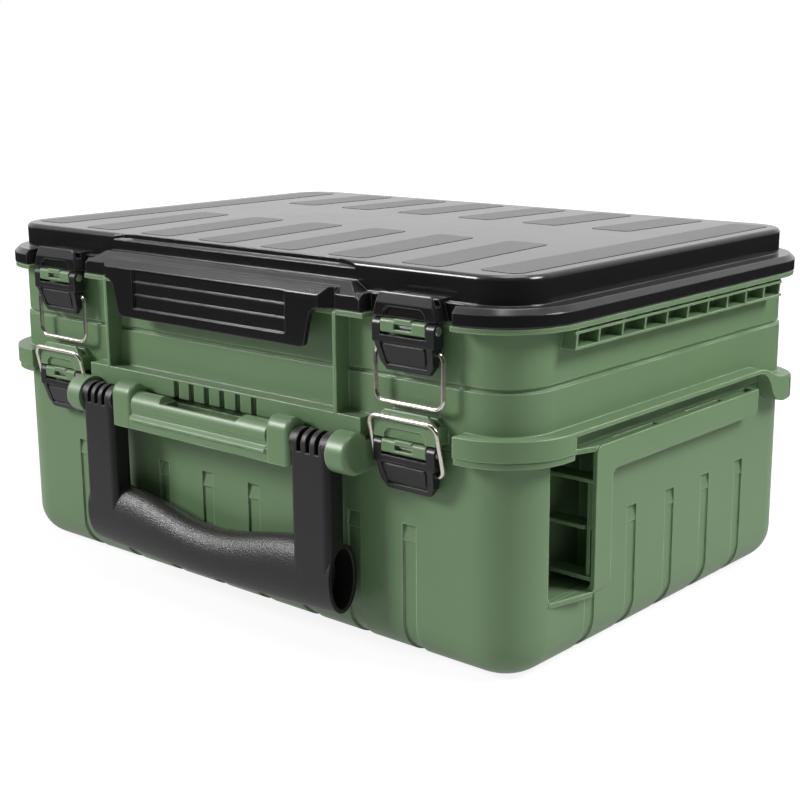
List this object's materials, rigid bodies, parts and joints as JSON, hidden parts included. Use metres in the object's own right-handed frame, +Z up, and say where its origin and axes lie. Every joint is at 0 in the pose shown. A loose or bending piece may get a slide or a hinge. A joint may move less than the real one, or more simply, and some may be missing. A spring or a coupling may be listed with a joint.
{
  "type": "tackle box",
  "caption": "Two-tier portable tackle box: deep base, hinged tray, hinged lid, draw latches and a swinging carrying handle.",
  "frame": {"origin": "middle of the box's footprint, on the surface it stands on", "axes": "+X to the right along the front, +Y to the hinges at the back, +Z up"},
  "size_m": [0.475, 0.366, 0.2309],
  "materials": {
    "green_plastic": "satin moulded polypropylene, muted green",
    "black_plastic": "satin moulded plastic, near black",
    "divider_plastic": "smooth grey plastic sheet",
    "pin_steel": "drawn steel",
    "wire_steel": "nickel-plated wire",
    "grip_pad": "matte fine-grained anti-slip"
  },
  "bodies": {
    "base": {"base_box": "green_plastic", "side_rack_left": "green_plastic", "side_rack_right": "green_plastic", "handle_bracket": "green_plastic", "handle_pin_left": "pin_steel", "handle_pin_right": "pin_steel", "lower_latch_pin_left": "pin_steel", "lower_latch_pin_right": "pin_steel", "tray_hinge_pin_left": "pin_steel", "tray_hinge_pin_right": "pin_steel"},
    "tray": {"tray_box": "green_plastic", "long_divider": "divider_plastic", "cross_divider_left": "divider_plastic", "cross_divider_middle": "divider_plastic", "cross_divider_right": "divider_plastic", "upper_latch_pin_left": "pin_steel", "upper_latch_pin_right": "pin_steel", "lid_hinge_pin_left": "pin_steel", "lid_hinge_pin_right": "pin_steel"},
    "lid": {"lid_shell": "black_plastic", "lid_pads": "grip_pad"},
    "carry_handle": {"handle": "black_plastic"},
    "lower_lever_left": {"lower_lever_left": "black_plastic"},
    "lower_bail_left": {"lower_bail_left": "wire_steel"},
    "lower_lever_right": {"lower_lever_right": "black_plastic"},
    "lower_bail_right": {"lower_bail_right": "wire_steel"},
    "upper_lever_left": {"upper_lever_left": "black_plastic"},
    "upper_bail_left": {"upper_bail_left": "wire_steel"},
    "upper_lever_right": {"upper_lever_right": "black_plastic"},
    "upper_bail_right": {"upper_bail_right": "wire_steel"}
  },
  "joints": [
    {"name": "lid_open", "type": "hinge", "parent": "tray", "child": "lid", "pos_m": [0, 0.178, 0.2042], "axis": [-1, 0, 0], "range_deg": [0, 100]},
    {"name": "tray_open", "type": "hinge", "parent": "base", "child": "tray", "pos_m": [0, 0.178, 0.1317], "axis": [-1, 0, 0], "range_deg": [0, 92]},
    {"name": "handle_swing", "type": "hinge", "parent": "base", "child": "carry_handle", "pos_m": [0, -0.1725, 0.126], "axis": [-1, 0, 0], "range_deg": [0, 165]},
    {"name": "lower_lever_left_lift", "type": "hinge", "parent": "base", "child": "lower_lever_left", "pos_m": [-0.157, -0.1615, 0.1312], "axis": [-1, 0, 0], "range_deg": [0, 100]},
    {"name": "lower_bail_left_swing", "type": "hinge", "parent": "lower_lever_left", "child": "lower_bail_left", "pos_m": [-0.157, -0.16, 0.1182], "axis": [-1, 0, 0], "range_deg": [-260, 0]},
    {"name": "lower_lever_right_lift", "type": "hinge", "parent": "base", "child": "lower_lever_right", "pos_m": [0.157, -0.1615, 0.1312], "axis": [-1, 0, 0], "range_deg": [0, 100]},
    {"name": "lower_bail_right_swing", "type": "hinge", "parent": "lower_lever_right", "child": "lower_bail_right", "pos_m": [0.157, -0.16, 0.1182], "axis": [-1, 0, 0], "range_deg": [-260, 0]},
    {"name": "upper_lever_left_lift", "type": "hinge", "parent": "tray", "child": "upper_lever_left", "pos_m": [-0.157, -0.1615, 0.1996], "axis": [-1, 0, 0], "range_deg": [0, 100]},
    {"name": "upper_bail_left_swing", "type": "hinge", "parent": "upper_lever_left", "child": "upper_bail_left", "pos_m": [-0.157, -0.16, 0.1866], "axis": [-1, 0, 0], "range_deg": [0, 80]},
    {"name": "upper_lever_right_lift", "type": "hinge", "parent": "tray", "child": "upper_lever_right", "pos_m": [0.157, -0.1615, 0.1996], "axis": [-1, 0, 0], "range_deg": [0, 100]},
    {"name": "upper_bail_right_swing", "type": "hinge", "parent": "upper_lever_right", "child": "upper_bail_right", "pos_m": [0.157, -0.16, 0.1866], "axis": [-1, 0, 0], "range_deg": [0, 80]}
  ],
  "couplings": [
    {"joint": "lower_bail_left_swing", "follows": "lower_lever_left_lift", "ratio": -2.6},
    {"joint": "lower_bail_right_swing", "follows": "lower_lever_right_lift", "ratio": -2.6}
  ]
}
